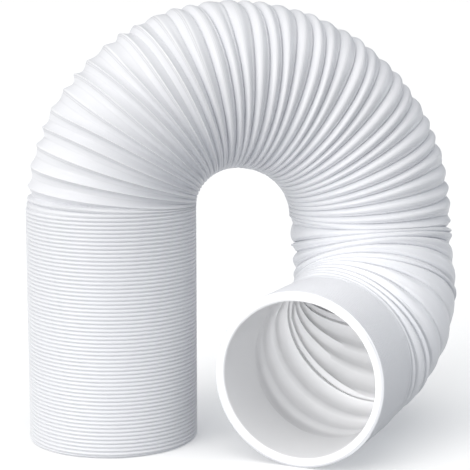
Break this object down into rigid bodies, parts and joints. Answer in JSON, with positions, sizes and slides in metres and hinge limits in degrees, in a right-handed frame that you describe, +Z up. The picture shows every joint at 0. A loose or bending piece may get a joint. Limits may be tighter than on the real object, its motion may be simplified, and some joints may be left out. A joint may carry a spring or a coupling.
{
  "type": "exhaust hose",
  "caption": "Wide white flexible exhaust hose of spiral-wound folded plastic, folds shut in a standing leg and a short tail, open round the arch between.",
  "frame": {"origin": "centre of the footprint of the bounding box, on the floor the hose stands on", "axes": "+Z up; the foot of the leg faces -Z and the open mouth of the tail faces -Y; the leg stands at the -X side"},
  "size_m": [0.3392, 0.299, 0.3766],
  "materials": {
    "strip": "satin white, slightly cool in shade"
  },
  "bodies": {
    "root": {"hose": "strip"}
  },
  "joints": []
}
